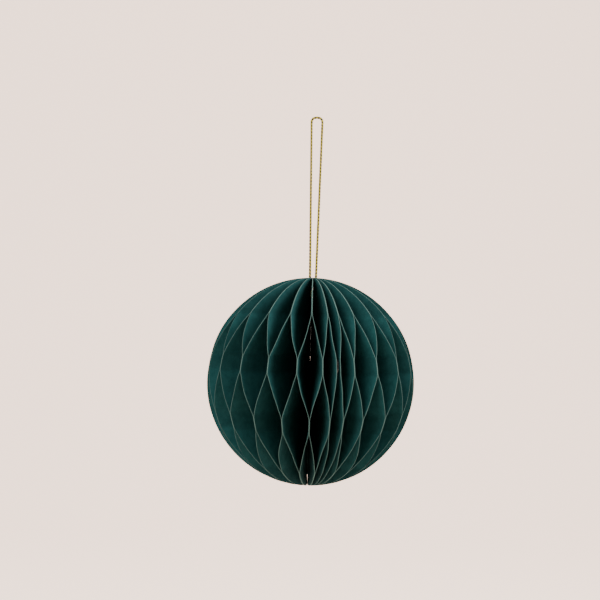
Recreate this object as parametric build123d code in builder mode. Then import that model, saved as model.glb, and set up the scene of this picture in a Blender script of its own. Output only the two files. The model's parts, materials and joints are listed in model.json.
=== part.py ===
"""Paper honeycomb ball on a hanging loop.

Half-disc leaves of paper stand round a vertical spine. They are glued to their neighbours in level
strips, set A on one face and set B on the other, by turns, so each leaf zigzags between its two
neighbours. The first and the last leaf are the covers. They aren't glued to each other, and the ball
opens there and folds flat. A thread and beads of soft glue on the axis bind the leaves' straight edges.

Millimetres, +Z up, -Y to the front. The origin is the hanging point, under the top of the loop.
Angles are measured round the spine from the front, -Y, towards the right, +X.
"""

import os
from math import cos, exp, pi, radians, sin, tan

from build123d import *

os.makedirs("parts", exist_ok=True)

# The ball
ball_radius = 50.0
leaf_count = 44  # an even number
paper = 0.2  # thickness of a leaf
glue_film = 0.04  # between two leaves that are glued together
core_radius = 2.6  # the leaves' straight edges stand on this circle

# The glue strips, all level, counted from the top and in sets A and B by turns
strip_height = 7.0
strip_pitch = 26.6
first_strip = 36.5  # the middle of the top strip above the ball's centre

# The closing seam between the two covers
seam_angle = 13.8
seam_half_rim = 3.65  # from the seam's middle to the first glued pair, at the rim
seam_half_core = 7.0  # the same at the core
squeeze = 1.25  # the number of glue lines' spaces that the leaves by the seam give up
squeeze_reach = 2.2  # the number of glue lines over which that fades
crowding = 1.8  # how far the leaves at the sides lean one way
cover_bulge = (1.2, 2.2)  # the covers' free edges beside each B strip, from the seam's middle

# The magnets on the covers
magnet_radius = 3.4
magnet_thickness = 0.6
magnet_place = 43.0  # from the axis
magnet_gap = 0.01  # glue under a magnet

# The hanging loop and its knot
loop_drop = 77.0  # from the hanging point to the ball's top
cord_diameter = 0.8
peg_half_width = 2.65  # half the space between the strands at the top
neck_half_width = 1.35  # the same at the ball
knot_depth = 6.0  # from the ball's top to the knot's top
knot_radius = 2.1
knot_height = 4.0

# The binding: a thread on the axis, and three beads of soft glue round it, with it bare between them
glue_gap = 0.2  # from a bead to the circle that the leaves' straight edges stand on
bottom_margin = 5.0  # from the lowest bead's end to the ball's bottom
thread_diameter = 0.5
bare_top = 29.0  # where the thread is bare, above the ball's centre
bare_bottom = 9.6
middle_bead_height = 1.6  # the short bead halfway down the bare thread

centre_z = -loop_drop - ball_radius
last_line = leaf_count - 2  # glue lines are numbered from 0, where the first two leaves meet
rim_reach = ball_radius + 1.0  # the sections pass the rim, and the sphere trims them


def from_seam(line, start, given_up):
    """Angle from the seam's middle to a glue line, with the lines crowded together by the seam."""
    half = last_line / 2
    pitch = (180 - start) / (half - given_up)
    fade = exp(-line / squeeze_reach)
    return 180 - (half - line) * pitch + given_up * pitch * fade


def line_angle(line, start, given_up):
    """Angle of a glue line round the spine. The second half of the lines mirrors the first."""
    steps = min(line, last_line - line)
    away = from_seam(steps, start, given_up)
    side = 1 if line <= last_line / 2 else -1
    return seam_angle + side * away + crowding * sin(radians(away))


def spot(angle, reach):
    """Point at an angle round the spine and a distance from the axis."""
    return Vector(reach * sin(radians(angle)), -reach * cos(radians(angle)))


def leaf_line(number, glue_set, b_strip):
    """Where a leaf runs at a strip: its inner and outer points, and the side of them it is on.

    The side is 1 towards rising angles and -1 the other way. b_strip counts the B strips from the top.
    """
    covers = {1: -1, leaf_count: 1}
    if glue_set == "A":
        line = 2 * ((number - 1) // 2)
        side = -1 if number % 2 else 1
    elif number in covers:
        line = 0 if number == 1 else last_line
        side = covers[number]
        bulge = cover_bulge[min(b_strip, len(cover_bulge) - 1)]
        outer = spot(seam_angle - side * bulge, rim_reach)
        return spot(line_angle(line, seam_half_core, 0), core_radius), outer, side
    else:
        line = 2 * (number // 2) - 1
        side = 1 if number % 2 else -1
    inner = spot(line_angle(line, seam_half_core, 0), core_radius)
    outer = spot(line_angle(line, seam_half_rim, squeeze), rim_reach)
    return inner, outer, side


def leaf_levels():
    """Height, glue set and B strip of each level section of a leaf, from the top down."""
    levels = [(rim_reach, "A", 0)]
    middle = first_strip
    strip = 0
    while middle + strip_height / 2 > -ball_radius:
        glue_set = "AB"[strip % 2]
        if strip:
            levels.append((middle + strip_height / 2, glue_set, strip // 2))
        levels.append((middle - strip_height / 2, glue_set, strip // 2))
        middle -= strip_pitch
        strip += 1
    lowest = levels.pop()
    return levels + [(-rim_reach, lowest[1], lowest[2])]


def make_leaf(number):
    """One half-disc leaf: level sections joined by straight lines, trimmed to the ball."""
    name = f"leaf_{number:02d}"
    with BuildPart() as leaf:
        for height, glue_set, b_strip in leaf_levels():
            inner, outer, side = leaf_line(number, glue_set, b_strip)
            across = (outer - inner).normalized().rotate(Axis.Z, 90) * side
            near = across * (glue_film / 2)
            far = across * (glue_film / 2 + paper)
            with BuildSketch(Plane.XY.offset(centre_z + height)):
                with BuildLine():
                    corners = [inner + near, outer + near, outer + far, inner + far]
                    Polyline(*[(corner.X, corner.Y) for corner in corners], close=True)
                make_face()
        loft(ruled=True)
        with Locations((0, 0, centre_z)):
            Sphere(ball_radius, mode=Mode.INTERSECT)
    leaf.part.label = name
    export_step(leaf.part, f"parts/{name}.step")
    return leaf.part


def make_magnet(number, name):
    """Disc magnet stuck on a cover's outer face, level with the first B strip."""
    inner, outer, side = leaf_line(number, "B", 0)
    along = (outer - inner).normalized()
    across = along.rotate(Axis.Z, 90) * side
    middle = inner + along * (magnet_place - core_radius) + across * (glue_film / 2 + paper + magnet_gap)
    height = centre_z + first_strip - strip_pitch
    face = Plane(origin=(middle.X, middle.Y, height), x_dir=(along.X, along.Y, 0), z_dir=(across.X, across.Y, 0))
    with BuildPart() as magnet:
        with BuildSketch(face):
            Circle(magnet_radius)
        extrude(amount=magnet_thickness)
        chamfer(magnet.edges().filter_by(GeomType.CIRCLE), length=magnet_thickness / 6)
    magnet.part.label = name
    export_step(magnet.part, f"parts/{name}.step")
    return magnet.part


for leaf_number in range(1, leaf_count + 1):
    make_leaf(leaf_number)

make_magnet(1, "cover_magnet_right")
make_magnet(leaf_count, "cover_magnet_left")

# The hanging loop: two straight strands, pulled tight, and the bend over the peg
knot_top = -loop_drop - knot_depth
cord_top = cord_diameter / 2
cord_end = knot_top - cord_diameter / 10  # trimmed to the knot's top below
loop_route = [
    (-neck_half_width, 0, cord_end),
    (-peg_half_width, 0, cord_top),
    (peg_half_width, 0, cord_top),
    (neck_half_width, 0, cord_end),
]
across_top = 2 * peg_half_width
strand = Vector(*loop_route[1]) - Vector(*loop_route[0])
turn = strand.get_angle(Vector(1, 0, 0))
bend_radius = 0.45 * across_top / tan(radians(turn / 2))
print(f"hanging loop: bend radii {bend_radius:.2f} and {bend_radius:.2f} mm")

with BuildPart() as hanging_loop:
    with BuildLine() as loop_path:
        FilletPolyline(*loop_route, radius=[bend_radius, bend_radius])
    with BuildSketch(Plane(origin=loop_path.line @ 0, z_dir=loop_path.line % 0)):
        Circle(cord_diameter / 2)
    sweep()
    split(bisect_by=Plane.XY.offset(knot_top), keep=Keep.TOP)
hanging_loop.part.label = "hanging_loop"
export_step(hanging_loop.part, "parts/hanging_loop.step")
cord_length = sum(edge.length for edge in loop_path.edges())
section = pi * cord_diameter**2 / 4
print(f"hanging loop: {cord_length:.1f} mm of cord, {hanging_loop.part.volume / section:.1f} mm by its volume")

# The knot: a tight round turn of the cord with a flat top, under the ends
with BuildPart() as loop_knot:
    with Locations((0, 0, knot_top - knot_height / 2)):
        Cylinder(knot_radius, knot_height)
    fillet(loop_knot.edges().group_by(Axis.Z)[0], radius=knot_radius * 0.6)
    fillet(loop_knot.edges().group_by(Axis.Z)[-1], radius=knot_radius * 0.1)
loop_knot.part.label = "loop_knot"
export_step(loop_knot.part, "parts/loop_knot.step")

# The binding thread, straight down the axis from the knot
thread_top = knot_top - knot_height
thread_bottom = centre_z - ball_radius + bottom_margin
with BuildPart() as spine_thread:
    with Locations((0, 0, (thread_top + thread_bottom) / 2)):
        Cylinder(thread_diameter / 2, thread_top - thread_bottom)
spine_thread.part.label = "spine_thread"
export_step(spine_thread.part, "parts/spine_thread.step")

# The beads of glue that the leaves' straight edges are bound with, cast round the thread
bare_middle = centre_z + (bare_top + bare_bottom) / 2
beads = [
    ("upper_glue", thread_top, centre_z + bare_top),
    ("middle_glue", bare_middle + middle_bead_height / 2, bare_middle - middle_bead_height / 2),
    ("lower_glue", centre_z + bare_bottom, thread_bottom),
]
for bead_name, bead_top, bead_bottom in beads:
    with BuildPart() as bead:
        with Locations((0, 0, (bead_top + bead_bottom) / 2)):
            Cylinder(core_radius - glue_gap, bead_top - bead_bottom)
            Cylinder(thread_diameter / 2, bead_top - bead_bottom, mode=Mode.SUBTRACT)
    bead.part.label = bead_name
    export_step(bead.part, f"parts/{bead_name}.step")
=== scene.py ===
"""Paper honeycomb ball on a gold hanging loop: its looks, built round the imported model.

Metres, +Z up, -Y to the front. The origin is the hanging point, under the top of the loop.
"""

import json
import math

import bpy
import numpy as np
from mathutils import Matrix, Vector


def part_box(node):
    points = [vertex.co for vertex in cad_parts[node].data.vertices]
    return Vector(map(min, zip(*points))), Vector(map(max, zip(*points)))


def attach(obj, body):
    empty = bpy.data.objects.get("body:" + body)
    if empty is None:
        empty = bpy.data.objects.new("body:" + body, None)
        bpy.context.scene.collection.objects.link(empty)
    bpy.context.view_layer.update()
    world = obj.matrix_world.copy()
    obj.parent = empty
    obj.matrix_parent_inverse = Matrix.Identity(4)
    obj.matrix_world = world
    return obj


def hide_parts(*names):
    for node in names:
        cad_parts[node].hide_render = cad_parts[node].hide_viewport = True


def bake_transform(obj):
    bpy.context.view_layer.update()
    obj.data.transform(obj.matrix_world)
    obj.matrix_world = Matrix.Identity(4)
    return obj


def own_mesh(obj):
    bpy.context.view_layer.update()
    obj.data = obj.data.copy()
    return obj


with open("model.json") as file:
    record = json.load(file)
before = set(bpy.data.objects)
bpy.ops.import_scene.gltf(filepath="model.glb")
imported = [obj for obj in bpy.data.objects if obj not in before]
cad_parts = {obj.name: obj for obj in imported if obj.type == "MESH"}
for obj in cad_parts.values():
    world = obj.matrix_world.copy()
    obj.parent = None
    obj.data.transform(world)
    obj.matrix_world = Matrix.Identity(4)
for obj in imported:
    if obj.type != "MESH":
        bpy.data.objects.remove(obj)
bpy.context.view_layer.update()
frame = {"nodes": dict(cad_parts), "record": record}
bpy.ops.object.select_all(action="DESELECT")

# The camera. It looks straight ahead, level with the upper half of the ball and a little to the
# left of its spine, through a long lens, and it is tilted a little because the ball hangs askew.
leaf_low, leaf_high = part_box("leaf_22")
ball_centre = Vector((0, 0, (leaf_low.z + leaf_high.z) / 2))
camera_distance = 0.5
camera_rise = 0.039
camera_left = 0.006
camera_roll = math.radians(-1.5)
bpy.ops.object.camera_add(
    location=(-camera_left, -camera_distance, ball_centre.z + camera_rise),
    rotation=(math.pi / 2, camera_roll, 0),
)
camera = bpy.context.object
camera.data.sensor_width = 36
camera.data.lens = 62
camera.data.clip_start = 0.01
camera.data.clip_end = 20
bpy.context.scene.camera = camera

# The hanging loop. A gold thread of three plies, each wound in metal foil, runs up from the knot
# inside the ball, over the hanging point and down again. It is pulled tight.
cord_end = -0.08308
loop_points = [
    (-0.00135, 0, cord_end),
    (-0.00258, 0, -0.0044),
    (-0.00265, 0, 0.0004),
    (0.00265, 0, 0.0004),
    (0.00258, 0, -0.0044),
    (0.00135, 0, cord_end),
]
route_curve = bpy.data.curves.new("loop_route", "CURVE")
route_curve.dimensions = "3D"
route_curve.resolution_u = 48
spline = route_curve.splines.new("NURBS")
spline.points.add(len(loop_points) - 1)
for point, place in zip(spline.points, loop_points):
    point.co = (*place, 1)
spline.order_u = 3
spline.use_endpoint_u = True
route_object = bpy.data.objects.new("loop_route", route_curve)
bpy.context.collection.objects.link(route_object)
route_mesh = bpy.data.meshes.new_from_object(route_object)
route = np.array([vertex.co for vertex in route_mesh.vertices])
bpy.data.objects.remove(route_object)

travel = np.concatenate([[0], np.cumsum(np.linalg.norm(np.diff(route, axis=0), axis=1))])
cord_length = float(travel[-1])
ring_step = 0.00022
ring_sides = 8


def laid_thread(name, line, reference, plies, ply_radius, ply_reach, ply_pitch, closed=False):
    """A thread of plies twisted together along a line. Its UV map "wound" runs along and round each ply."""
    if closed:
        ahead = np.roll(line, -1, axis=0) - np.roll(line, 1, axis=0)
    else:
        ahead = np.gradient(line, axis=0)
    ahead /= np.linalg.norm(ahead, axis=1)[:, None]
    beside = np.cross(ahead, reference)
    beside /= np.linalg.norm(beside, axis=1)[:, None]
    front = np.cross(beside, ahead)
    steps = np.linalg.norm(np.roll(line, -1, axis=0) - line, axis=1)
    stations = np.concatenate([[0], np.cumsum(steps)])
    turns = stations[:-1] / ply_pitch
    if closed:
        turns = stations[:-1] / stations[-1] * round(stations[-1] / ply_pitch)
    rings = len(line)
    joins = rings if closed else rings - 1
    vertices, faces, uvs = [], [], []
    for ply in range(plies):
        first = len(vertices)
        lay = 2 * math.pi * (turns + ply / plies)
        ply_line = line + ply_reach * (np.cos(lay)[:, None] * front + np.sin(lay)[:, None] * beside)
        for ring in range(rings):
            for side in range(ring_sides):
                around = 2 * math.pi * side / ring_sides
                outward = math.cos(around) * front[ring] + math.sin(around) * beside[ring]
                vertices.append(ply_line[ring] + ply_radius * outward)
        for ring in range(joins):
            for side in range(ring_sides):
                corners = [(ring, side), (ring, side + 1), (ring + 1, side + 1), (ring + 1, side)]
                faces.append([first + (r % rings) * ring_sides + c % ring_sides for r, c in corners])
                uvs += [(stations[r] / ply_pitch, c / ring_sides) for r, c in corners]
        if not closed:
            for ring, step in ((0, -1), (rings - 1, 1)):
                faces.append([first + ring * ring_sides + side for side in range(ring_sides)][::step])
                uvs += [(stations[ring] / ply_pitch, side / ring_sides) for side in range(ring_sides)][::step]
    mesh = bpy.data.meshes.new(name)
    mesh.from_pydata(vertices, [], faces)
    mesh.uv_layers.new(name="wound")
    mesh.uv_layers["wound"].data.foreach_set("uv", np.ravel(uvs))
    thread = bpy.data.objects.new(name, mesh)
    bpy.context.collection.objects.link(thread)
    thread.select_set(True)
    bpy.context.view_layer.objects.active = thread
    bpy.ops.object.mode_set(mode="EDIT")
    bpy.ops.mesh.select_all(action="SELECT")
    bpy.ops.mesh.normals_make_consistent(inside=False)
    bpy.ops.object.mode_set(mode="OBJECT")
    bpy.ops.object.shade_smooth()
    thread.select_set(False)
    return thread


spread_along = np.linspace(0, cord_length, int(cord_length / ring_step))
line = np.stack([np.interp(spread_along, travel, route[:, axis]) for axis in range(3)], axis=1)
gold_thread = laid_thread(
    "gold_thread",
    line,
    reference=(0, -1, 0),
    plies=3,
    ply_radius=0.00034,
    ply_reach=0.00026,
    ply_pitch=0.0047,
)

gold = bpy.data.materials.new("gold_thread")
gold.use_nodes = True
nodes, links = gold.node_tree.nodes, gold.node_tree.links
shader = nodes["Principled BSDF"]
shader.inputs["Metallic"].default_value = 0.4
foil_uv = nodes.new("ShaderNodeUVMap")
foil_uv.uv_map = "wound"
foil_turns = nodes.new("ShaderNodeMapping")
foil_turns.inputs["Scale"].default_value = (0.95, 0.12, 1)
foil_turns.inputs["Rotation"].default_value = (0, 0, math.radians(12))
foil = nodes.new("ShaderNodeTexWave")
foil.wave_type = "BANDS"
foil.inputs["Scale"].default_value = 1.0
foil.inputs["Distortion"].default_value = 1.2
foil.inputs["Detail"].default_value = 2.0
# The colour bands are painted light: the near-black valleys between the foil's turns are painted shade, and
# the bright gold crests are painted glints.
foil_glint_and_shade = nodes.new("ShaderNodeValToRGB")
foil_glint_and_shade.color_ramp.elements[0].position = 0.25
foil_glint_and_shade.color_ramp.elements[0].color = (0.03, 0.022, 0.002, 1)
foil_glint_and_shade.color_ramp.elements[1].position = 0.8
foil_glint_and_shade.color_ramp.elements[1].color = (0.40, 0.33, 0.016, 1)
foil_rough = nodes.new("ShaderNodeMapRange")
foil_rough.inputs["To Min"].default_value = 0.6
foil_rough.inputs["To Max"].default_value = 0.32
foil_bump = nodes.new("ShaderNodeBump")
foil_bump.inputs["Strength"].default_value = 0.6
foil_bump.inputs["Distance"].default_value = 0.0001
links.new(foil_uv.outputs["UV"], foil_turns.inputs["Vector"])
links.new(foil_turns.outputs["Vector"], foil.inputs["Vector"])
links.new(foil.outputs["Fac"], foil_glint_and_shade.inputs["Fac"])
links.new(foil.outputs["Fac"], foil_rough.inputs["Value"])
links.new(foil.outputs["Fac"], foil_bump.inputs["Height"])
links.new(foil_glint_and_shade.outputs["Color"], shader.inputs["Base Color"])
links.new(foil_rough.outputs["Result"], shader.inputs["Roughness"])
links.new(foil_bump.outputs["Normal"], shader.inputs["Normal"])
gold_thread.data.materials.append(gold)

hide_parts("hanging_loop")
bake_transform(gold_thread)

# The knot. The two ends of the loop are tied in a tight overhand knot, which sits in the hollow at
# the top of the spine, over the glue.
knot_low, knot_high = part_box("loop_knot")
knot_middle = np.array((knot_low + knot_high) / 2)
knot_ply_radius = 0.0003
knot_ply_reach = 0.00024
knot_ply_pitch = 0.0026
knot_reach = (knot_high - knot_low).x / 2 - knot_ply_radius - knot_ply_reach
knot_rise = (knot_high - knot_low).z / 2 - knot_ply_radius - knot_ply_reach
knot_turn = np.linspace(0, 2 * math.pi, 240, endpoint=False)
knot_line = np.column_stack(
    [
        (np.sin(knot_turn) + 2 * np.sin(2 * knot_turn)) / 3 * knot_reach,
        (np.cos(knot_turn) - 2 * np.cos(2 * knot_turn)) / 3 * knot_reach,
        -np.sin(3 * knot_turn) * knot_rise,
    ]
)
gold_knot = laid_thread(
    "gold_knot",
    knot_line + knot_middle,
    reference=(0, 0, 1),
    plies=3,
    ply_radius=knot_ply_radius,
    ply_reach=knot_ply_reach,
    ply_pitch=knot_ply_pitch,
    closed=True,
)
gold_knot.data.materials.append(gold)
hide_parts("loop_knot")
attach(gold_knot, "spine")

# The binding. Beads of soft glue, stained by the dye of the paper, hold the leaves' straight edges
# round a white cotton thread, which hangs bare where the beads leave the middle of the ball open.
lump_height = 0.00005
broad_lumps = 700  # radians of lump in a metre of bead
fine_lumps = 1900
ring_height = 0.0012
end_roundness = 0.45  # share of its radius that a bead loses at its very ends
beads = []
for node in ("upper_glue", "middle_glue", "lower_glue"):
    low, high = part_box(node)
    reach = (high - low).x / 2
    end_curve = min(reach, (high - low).z / 2) * 0.6
    bpy.ops.mesh.primitive_cylinder_add(
        vertices=40, radius=reach, depth=(high - low).z, location=(0, 0, (low.z + high.z) / 2)
    )
    bead = bpy.context.object
    bead.name = node.replace("glue", "glue_bead")
    bpy.ops.object.transform_apply(location=True)
    bpy.ops.object.mode_set(mode="EDIT")
    rings = max(10, round((high - low).z / ring_height))
    for ring in range(1, rings):
        level = low.z + (high - low).z * (0.5 - 0.5 * math.cos(math.pi * ring / rings))
        bpy.ops.mesh.select_all(action="SELECT")
        bpy.ops.mesh.bisect(plane_co=(0, 0, level), plane_no=(0, 0, 1))
    bpy.ops.object.mode_set(mode="OBJECT")
    for vertex in bead.data.vertices:
        from_end = min(vertex.co.z - low.z, high.z - vertex.co.z) / end_curve
        around = math.atan2(vertex.co.y, vertex.co.x)
        lumps = math.sin(3 * around + broad_lumps * vertex.co.z)
        lumps += math.sin(5 * around - fine_lumps * vertex.co.z)
        shrink = 1 - lump_height * (1 + lumps / 2) / reach
        shrink -= end_roundness * max(0, 1 - from_end) ** 2
        vertex.co.x *= shrink
        vertex.co.y *= shrink
    bpy.ops.object.shade_smooth_by_angle(angle=math.radians(50))
    bead.select_set(False)
    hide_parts(node)
    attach(bead, "spine")
    beads.append(bead)

thread_low, thread_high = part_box("spine_thread")
slack = 0.0003  # the bare thread isn't pulled quite straight
short_bends = 800  # radians of bend in a metre of thread
long_bends = 410
thread_heights = np.linspace(thread_high.z, thread_low.z, 420)
thread_line = np.column_stack(
    [
        slack * (0.4 * np.sin(thread_heights * short_bends) - 1),
        slack * 0.5 * np.sin(thread_heights * long_bends + 1),
        thread_heights,
    ]
)
binding_thread = laid_thread(
    "cotton_thread",
    thread_line,
    reference=(0, -1, 0),
    plies=3,
    ply_radius=0.00014,
    ply_reach=0.00011,
    ply_pitch=0.0016,
)
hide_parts("spine_thread")
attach(binding_thread, "spine")

glue = bpy.data.materials.new("stained_glue")
glue.use_nodes = True
nodes, links = glue.node_tree.nodes, glue.node_tree.links
shader = nodes["Principled BSDF"]
shader.inputs["Specular IOR Level"].default_value = 0.25
place = nodes.new("ShaderNodeTexCoord")
drawn_down = nodes.new("ShaderNodeMapping")
drawn_down.inputs["Scale"].default_value = (1, 1, 0.3)
stain = nodes.new("ShaderNodeTexNoise")
stain.inputs["Scale"].default_value = 600
stain.inputs["Detail"].default_value = 4
stain_colour = nodes.new("ShaderNodeValToRGB")
stain_colour.color_ramp.elements[0].color = (0.006, 0.030, 0.029, 1)
stain_colour.color_ramp.elements[1].color = (0.020, 0.065, 0.062, 1)
skin = nodes.new("ShaderNodeMapRange")
skin.inputs["To Min"].default_value = 0.5
skin.inputs["To Max"].default_value = 0.75
wrinkles = nodes.new("ShaderNodeBump")
wrinkles.inputs["Strength"].default_value = 0.5
wrinkles.inputs["Distance"].default_value = 0.0001
links.new(place.outputs["Object"], drawn_down.inputs["Vector"])
links.new(drawn_down.outputs["Vector"], stain.inputs["Vector"])
links.new(stain.outputs["Fac"], stain_colour.inputs["Fac"])
links.new(stain.outputs["Fac"], skin.inputs["Value"])
links.new(stain.outputs["Fac"], wrinkles.inputs["Height"])
links.new(stain_colour.outputs["Color"], shader.inputs["Base Color"])
links.new(skin.outputs["Result"], shader.inputs["Roughness"])
links.new(wrinkles.outputs["Normal"], shader.inputs["Normal"])
for bead in beads:
    bead.data.materials.append(glue)

cotton = bpy.data.materials.new("white_cotton")
cotton.use_nodes = True
nodes, links = cotton.node_tree.nodes, cotton.node_tree.links
shader = nodes["Principled BSDF"]
shader.inputs["Sheen Weight"].default_value = 0.3
shader.inputs["Roughness"].default_value = 0.85
cotton_uv = nodes.new("ShaderNodeUVMap")
cotton_uv.uv_map = "wound"
hair_lay = nodes.new("ShaderNodeMapping")
hair_lay.inputs["Scale"].default_value = (3, 14, 1)
hair_lay.inputs["Rotation"].default_value = (0, 0, math.radians(20))
hairs = nodes.new("ShaderNodeTexNoise")
hairs.inputs["Scale"].default_value = 1.5
hairs.inputs["Detail"].default_value = 3
hair_colour = nodes.new("ShaderNodeValToRGB")
hair_colour.color_ramp.elements[0].color = (0.50, 0.50, 0.46, 1)
hair_colour.color_ramp.elements[1].color = (0.86, 0.86, 0.82, 1)
hair_bump = nodes.new("ShaderNodeBump")
hair_bump.inputs["Strength"].default_value = 0.5
hair_bump.inputs["Distance"].default_value = 0.00005
links.new(cotton_uv.outputs["UV"], hair_lay.inputs["Vector"])
links.new(hair_lay.outputs["Vector"], hairs.inputs["Vector"])
links.new(hairs.outputs["Fac"], hair_colour.inputs["Fac"])
links.new(hairs.outputs["Fac"], hair_bump.inputs["Height"])
links.new(hair_colour.outputs["Color"], shader.inputs["Base Color"])
links.new(hair_bump.outputs["Normal"], shader.inputs["Normal"])
binding_thread.data.materials.append(cotton)

# The magnets. Two thin plated discs are stuck on the covers' outer faces, one each side of the seam,
# and they keep the opened ball round. The plating is finely scratched and dull from handling.
plated = bpy.data.materials.new("plated_disc")
plated.use_nodes = True
nodes, links = plated.node_tree.nodes, plated.node_tree.links
shader = nodes["Principled BSDF"]
place = nodes.new("ShaderNodeTexCoord")
streaks = nodes.new("ShaderNodeMapping")
streaks.inputs["Scale"].default_value = (1, 1, 7)
scratches = nodes.new("ShaderNodeTexNoise")
scratches.inputs["Scale"].default_value = 900
scratches.inputs["Detail"].default_value = 4
tarnish = nodes.new("ShaderNodeTexNoise")
tarnish.inputs["Scale"].default_value = 300
plate_colour = nodes.new("ShaderNodeValToRGB")
plate_colour.color_ramp.elements[0].position = 0.35
plate_colour.color_ramp.elements[0].color = (0.24, 0.24, 0.23, 1)
plate_colour.color_ramp.elements[1].position = 0.65
plate_colour.color_ramp.elements[1].color = (0.46, 0.46, 0.45, 1)
plate_rough = nodes.new("ShaderNodeMapRange")
plate_rough.inputs["To Min"].default_value = 0.3
plate_rough.inputs["To Max"].default_value = 0.6
plate_bump = nodes.new("ShaderNodeBump")
plate_bump.inputs["Strength"].default_value = 0.2
plate_bump.inputs["Distance"].default_value = 0.00003
shader.inputs["Metallic"].default_value = 1
links.new(place.outputs["Object"], streaks.inputs["Vector"])
links.new(streaks.outputs["Vector"], scratches.inputs["Vector"])
links.new(place.outputs["Object"], tarnish.inputs["Vector"])
links.new(tarnish.outputs["Fac"], plate_colour.inputs["Fac"])
links.new(scratches.outputs["Fac"], plate_rough.inputs["Value"])
links.new(scratches.outputs["Fac"], plate_bump.inputs["Height"])
links.new(plate_colour.outputs["Color"], shader.inputs["Base Color"])
links.new(plate_rough.outputs["Result"], shader.inputs["Roughness"])
links.new(plate_bump.outputs["Normal"], shader.inputs["Normal"])
for node in ("cover_magnet_right", "cover_magnet_left"):
    magnet = frame["nodes"][node]
    magnet.data.materials.clear()
    magnet.data.materials.append(plated)

# The leaves. Half discs of dyed paper stand round the spine, each glued to its neighbours in level
# strips, on one face and the other by turns, so that it zigzags from strip to strip. One flat half
# disc is the pattern, and each leaf is a copy of it, bent to its own course and given its thickness.
ball_radius = (leaf_high - leaf_low).z / 2
leaf_names = sorted(name for name in frame["nodes"] if name.startswith("leaf_"))
behaviour = frame["record"]["behaviour"]
body_of_node = {node: body for body, group in behaviour["bodies"].items() for node in group}

paper_thickness = 0.0002
shortest_row = 0.0003
row_count = 144
column_count = 12
column_crowding = 1.6  # the columns stand closer together towards the rim
pale_band = 0.0025  # share of a row beside the rim that the cut has left pale
corner_rounding = 0.0006  # how far the paper's curve reaches each side of a strip's edge
ripple_height = 0.0003
broad_ripple = 90  # radians of ripple in a metre of height
fine_ripple = 210
pole_reach = 0.0014  # how near the axis the straight edges come at the two poles
pole_share = 0.86  # of the ball's radius, above and below which they come in
pole_end = 0.9814  # and where they are all the way in
uv_metres = 0.1  # what one unit of the paper's UV map spans

bpy.ops.mesh.primitive_grid_add(x_subdivisions=column_count, y_subdivisions=row_count, size=1)
pattern = bpy.context.object
pattern.data.uv_layers[0].name = "paper"
pattern.data.attributes.new("glued", "FLOAT", "POINT")
pattern.data.attributes.new("rim", "FLOAT", "POINT")
flat = np.array([vertex.co for vertex in pattern.data.vertices])
along_row = 1 - (0.5 - flat[:, 0]) ** column_crowding
at_rim = along_row > 0.999
beside_rim = ~at_rim & (along_row > 1 - (1.5 / column_count) ** column_crowding)
along_row[beside_rim] = 1 - pale_band
up_leaf = flat[:, 1] + 0.5
lowest_turn = math.asin((pole_reach + shortest_row) / ball_radius)
turn = lowest_turn + up_leaf * (math.pi - 2 * lowest_turn)
height = ball_centre.z - ball_radius * np.cos(turn)
to_pole = np.abs(height - ball_centre.z) / ball_radius
come_in = np.clip((to_pole - pole_share) / (pole_end - pole_share), 0, 1)
corner_vertex = np.array([loop.vertex_index for loop in pattern.data.loops])


def leaf_course(node):
    """Heights of a leaf's level section lines, from the bottom up, and each line's start and direction."""
    places = np.array([vertex.co for vertex in frame["nodes"][node].data.vertices])
    reach = np.hypot(places[:, 0], places[:, 1])
    core = reach < reach.min() + paper_thickness
    heights, starts, directions = [], [], []
    for height in np.unique(np.round(places[core, 2], 6)):
        level = np.abs(places[:, 2] - height) < 1e-6
        start = places[level & core, :2].mean(axis=0)
        end = places[level & (reach > reach[level].max() - paper_thickness), :2].mean(axis=0)
        if np.linalg.norm(end - start) > ball_radius / 4:
            heights.append(height)
            starts.append(start)
            directions.append((end - start) / np.linalg.norm(end - start))
    return np.array(heights), np.array(starts), np.array(directions)


def follow(height, heights, values):
    """A course's values at any height: straight from line to line, with the corners rounded."""
    shifts = np.linspace(-corner_rounding, corner_rounding, 9)
    return sum(np.interp(height + shift, heights, values) for shift in shifts) / len(shifts)


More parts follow.
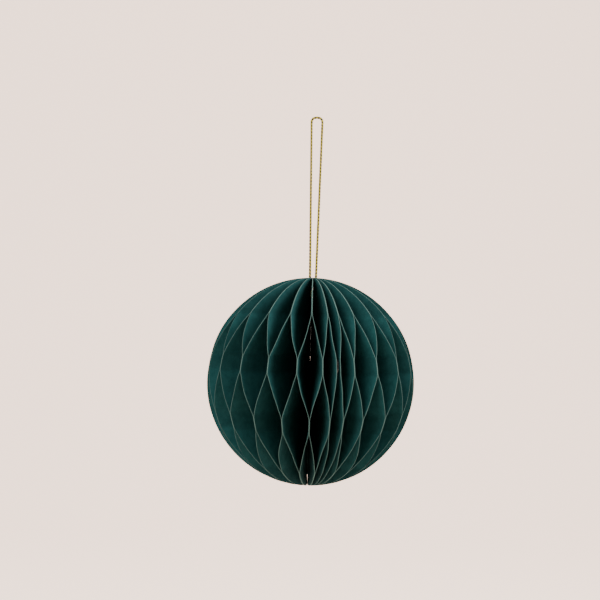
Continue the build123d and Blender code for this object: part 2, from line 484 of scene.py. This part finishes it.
leaves = []
for number, name in enumerate(leaf_names, start=1):
    heights, starts, directions = leaf_course(name)
    core_radius = np.linalg.norm(starts, axis=1).mean()
    start = np.stack([follow(height, heights, starts[:, axis]) for axis in (0, 1)], axis=1)
    direction = np.stack([follow(height, heights, directions[:, axis]) for axis in (0, 1)], axis=1)
    direction /= np.linalg.norm(direction, axis=1)[:, None]
    start = start * (1 - come_in * (1 - pole_reach / core_radius))[:, None]
    # the row's end lies on the ball: |start + length * direction| = the ball's radius at this height
    rim_reach = ball_radius * np.sin(turn)
    lean = (start * direction).sum(axis=1)
    length = -lean + np.sqrt(lean**2 - (start**2).sum(axis=1) + rim_reach**2)

    # the course is steady in the strips and beyond the last lines, and the spans between are free
    span = np.clip(np.searchsorted(heights, height) - 1, 0, len(heights) - 2)
    share = np.clip((height - heights[span]) / (heights[span + 1] - heights[span]), 0, 1)
    free = np.where(span % 2 == 0, np.sin(math.pi * share) ** 2, 0)
    wave = np.sin(1.7 * number + broad_ripple * height + 3 * along_row)
    wave += 0.6 * np.sin(2.9 * number + fine_ripple * height)
    across = np.stack([-direction[:, 1], direction[:, 0]], axis=1)
    plan = start + direction * (along_row * length)[:, None]
    plan += across * (ripple_height * free * along_row * wave)[:, None]

    mesh = pattern.data.copy()
    mesh.name = f"paper_{name}"
    mesh.vertices.foreach_set("co", np.column_stack([plan, height]).ravel())
    mesh.attributes["glued"].data.foreach_set("value", np.clip(1 - 25 * free, 0, 1))
    mesh.attributes["rim"].data.foreach_set("value", at_rim.astype(float))
    along_uv = np.hypot(plan[:, 0], plan[:, 1]) / uv_metres
    up_uv = (height - ball_centre.z) / uv_metres + 1.37 * number
    mesh.uv_layers["paper"].data.foreach_set("uv", np.column_stack([along_uv, up_uv])[corner_vertex].ravel())
    leaf = bpy.data.objects.new(mesh.name, mesh)
    bpy.context.collection.objects.link(leaf)
    leaf.select_set(True)
    bpy.context.view_layer.objects.active = leaf
    sheet = leaf.modifiers.new("thickness", "SOLIDIFY")
    sheet.thickness = paper_thickness
    sheet.offset = 0
    sheet.material_offset_rim = 1
    bpy.ops.object.modifier_apply(modifier="thickness")
    bpy.ops.object.shade_smooth_by_angle(angle=math.radians(50))
    leaf.select_set(False)
    leaves.append(leaf)

    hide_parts(name)
    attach(leaf, body_of_node[name])
    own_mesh(leaf)
bpy.data.objects.remove(pattern)

# The paper's finish: long fibres and cloudy dye under a dead matt surface. It is a little darker and
# raised where the glue has soaked in, and pale where the blade has cut the rim.
paper_grain = bpy.data.node_groups.new("paper_grain", "ShaderNodeTree")
paper_grain.interface.new_socket("Vector", in_out="INPUT", socket_type="NodeSocketVector")
paper_grain.interface.new_socket("Tint", in_out="OUTPUT", socket_type="NodeSocketFloat")
paper_grain.interface.new_socket("Height", in_out="OUTPUT", socket_type="NodeSocketFloat")
nodes, links = paper_grain.nodes, paper_grain.links
group_in = nodes.new("NodeGroupInput")
group_out = nodes.new("NodeGroupOutput")
fibre_lay = nodes.new("ShaderNodeMapping")
fibre_lay.inputs["Scale"].default_value = (0.35, 1, 1)
fibres = nodes.new("ShaderNodeTexNoise")
fibres.inputs["Scale"].default_value = 420
fibres.inputs["Detail"].default_value = 3
clouds = nodes.new("ShaderNodeTexNoise")
clouds.inputs["Scale"].default_value = 24
clouds.inputs["Detail"].default_value = 4
clouds.inputs["Roughness"].default_value = 0.6
blend_tint = nodes.new("ShaderNodeMix")
blend_tint.data_type = "FLOAT"
blend_tint.inputs["Factor"].default_value = 0.35
links.new(group_in.outputs["Vector"], fibre_lay.inputs["Vector"])
links.new(fibre_lay.outputs["Vector"], fibres.inputs["Vector"])
links.new(group_in.outputs["Vector"], clouds.inputs["Vector"])
links.new(clouds.outputs["Fac"], blend_tint.inputs["A"])
links.new(fibres.outputs["Fac"], blend_tint.inputs["B"])
links.new(blend_tint.outputs["Result"], group_out.inputs["Tint"])
links.new(fibres.outputs["Fac"], group_out.inputs["Height"])


def paper_material(name, dark, light, glued_share, rim_colour):
    """Dyed paper, clouded from dark to light. On the glued strips its colour is multiplied by glued_share."""
    material = bpy.data.materials.new(name)
    material.use_nodes = True
    nodes, links = material.node_tree.nodes, material.node_tree.links
    shader = nodes["Principled BSDF"]
    shader.inputs["Roughness"].default_value = 0.85
    shader.inputs["Specular IOR Level"].default_value = 0.12
    where = nodes.new("ShaderNodeUVMap")
    where.uv_map = "paper"
    grain = nodes.new("ShaderNodeGroup")
    grain.node_tree = paper_grain
    dye = nodes.new("ShaderNodeValToRGB")
    dye.color_ramp.elements[0].position = 0.3
    dye.color_ramp.elements[0].color = (*dark, 1)
    dye.color_ramp.elements[1].position = 0.7
    dye.color_ramp.elements[1].color = (*light, 1)
    glued = nodes.new("ShaderNodeAttribute")
    glued.attribute_name = "glued"
    soaked = nodes.new("ShaderNodeMapRange")
    soaked.inputs["To Min"].default_value = 1
    soaked.inputs["To Max"].default_value = glued_share
    darken = nodes.new("ShaderNodeMix")
    darken.data_type = "RGBA"
    darken.blend_type = "MULTIPLY"
    darken.inputs["Factor"].default_value = 1
    rim = nodes.new("ShaderNodeAttribute")
    rim.attribute_name = "rim"
    pale = nodes.new("ShaderNodeMix")
    pale.data_type = "RGBA"
    pale.inputs["B"].default_value = (*rim_colour, 1)
    strip_edge = nodes.new("ShaderNodeMath")
    strip_edge.operation = "ADD"
    relief = nodes.new("ShaderNodeBump")
    relief.inputs["Strength"].default_value = 0.6
    relief.inputs["Distance"].default_value = 0.00012
    links.new(where.outputs["UV"], grain.inputs["Vector"])
    links.new(grain.outputs["Tint"], dye.inputs["Fac"])
    links.new(glued.outputs["Fac"], soaked.inputs["Value"])
    links.new(dye.outputs["Color"], darken.inputs["A"])
    links.new(soaked.outputs["Result"], darken.inputs["B"])
    links.new(darken.outputs["Result"], pale.inputs["A"])
    links.new(rim.outputs["Fac"], pale.inputs["Factor"])
    links.new(pale.outputs["Result"], shader.inputs["Base Color"])
    links.new(grain.outputs["Height"], strip_edge.inputs[0])
    links.new(glued.outputs["Fac"], strip_edge.inputs[1])
    links.new(strip_edge.outputs["Value"], relief.inputs["Height"])
    links.new(relief.outputs["Normal"], shader.inputs["Normal"])
    return material


paper_face = paper_material(
    "paper_face",
    dark=(0.004, 0.042, 0.044),
    light=(0.013, 0.072, 0.074),
    glued_share=0.85,
    rim_colour=(0.07, 0.13, 0.12),
)
paper_edge = paper_material(
    "paper_cut_edge",
    dark=(0.15, 0.22, 0.205),
    light=(0.24, 0.32, 0.30),
    glued_share=1.0,
    rim_colour=(0.22, 0.30, 0.28),
)
for leaf in leaves:
    leaf.data.materials.append(paper_face)
    leaf.data.materials.append(paper_edge)

# The stage: a pale sweep of card, far larger than the ball, which runs from the floor up behind it.
# It glows to the eye, so that it stays as pale far from the windows as it is near them, and the glow
# hardly lights the ball.
floor_height = -0.5
stage_span = 5.0
sweep_curve = 1.2
bpy.ops.mesh.primitive_plane_add(size=stage_span, location=(0, 0, floor_height))
sweep = bpy.context.object
sweep.name = "sweep"
bpy.ops.object.mode_set(mode="EDIT")
bpy.ops.mesh.select_all(action="DESELECT")
bpy.ops.object.mode_set(mode="OBJECT")
for edge in sweep.data.edges:
    edge.select = all(sweep.data.vertices[end].co.y > 0 for end in edge.vertices)
bpy.ops.object.mode_set(mode="EDIT")
bpy.ops.mesh.select_mode(type="EDGE")
bpy.ops.mesh.extrude_region_move(TRANSFORM_OT_translate={"value": (0, 0, stage_span / 2)})
bpy.ops.object.mode_set(mode="OBJECT")
for edge in sweep.data.edges:
    ends = [sweep.data.vertices[end].co for end in edge.vertices]
    edge.select = all(end.y > 0 and abs(end.z) < 1e-4 for end in ends)
bpy.ops.object.mode_set(mode="EDIT")
bpy.ops.mesh.bevel(offset=sweep_curve, segments=24, affect="EDGES")
bpy.ops.object.mode_set(mode="OBJECT")
bpy.ops.object.shade_smooth()
card = bpy.data.materials.new("pale_card")
card.use_nodes = True
nodes, links = card.node_tree.nodes, card.node_tree.links
shader = nodes["Principled BSDF"]
shader.inputs["Base Color"].default_value = (0.90, 0.78, 0.69, 1)
shader.inputs["Roughness"].default_value = 0.9
shader.inputs["Emission Color"].default_value = (1.0, 0.74, 0.60, 1)
seen = nodes.new("ShaderNodeLightPath")
glow = nodes.new("ShaderNodeMapRange")
glow.inputs["To Min"].default_value = 0.2
glow.inputs["To Max"].default_value = 2.2
links.new(seen.outputs["Is Camera Ray"], glow.inputs["Value"])
links.new(glow.outputs["Result"], shader.inputs["Emission Strength"])
sweep.data.materials.append(card)
sweep.select_set(False)

# The light: a soft window high on the left in front, a smaller and stronger one at the right side,
# and a pale room, which is as pale as the card to the eye and lights the ball only a little.
for light_name, place, size, power, colour in (
    ("window", (-0.65, -0.7, 0.55), 1.0, 23, (1.0, 0.95, 0.90)),
    ("second_window", (0.95, -0.25, 0.5), 0.8, 28, (1.0, 0.96, 0.93)),
):
    bpy.ops.object.light_add(type="AREA", location=place)
    lamp = bpy.context.object
    lamp.name = light_name
    lamp.data.size = size
    lamp.data.energy = power
    lamp.data.color = colour
    lamp.rotation_euler = (ball_centre - lamp.location).to_track_quat("-Z", "Y").to_euler()
room = bpy.data.worlds.new("room")
room.use_nodes = True
nodes, links = room.node_tree.nodes, room.node_tree.links
nodes["Background"].inputs["Color"].default_value = (1.0, 0.84, 0.75, 1)
seen = nodes.new("ShaderNodeLightPath")
glow = nodes.new("ShaderNodeMapRange")
glow.inputs["To Min"].default_value = 0.4
glow.inputs["To Max"].default_value = 3.1
links.new(seen.outputs["Is Camera Ray"], glow.inputs["Value"])
links.new(glow.outputs["Result"], nodes["Background"].inputs["Strength"])
bpy.context.scene.world = room
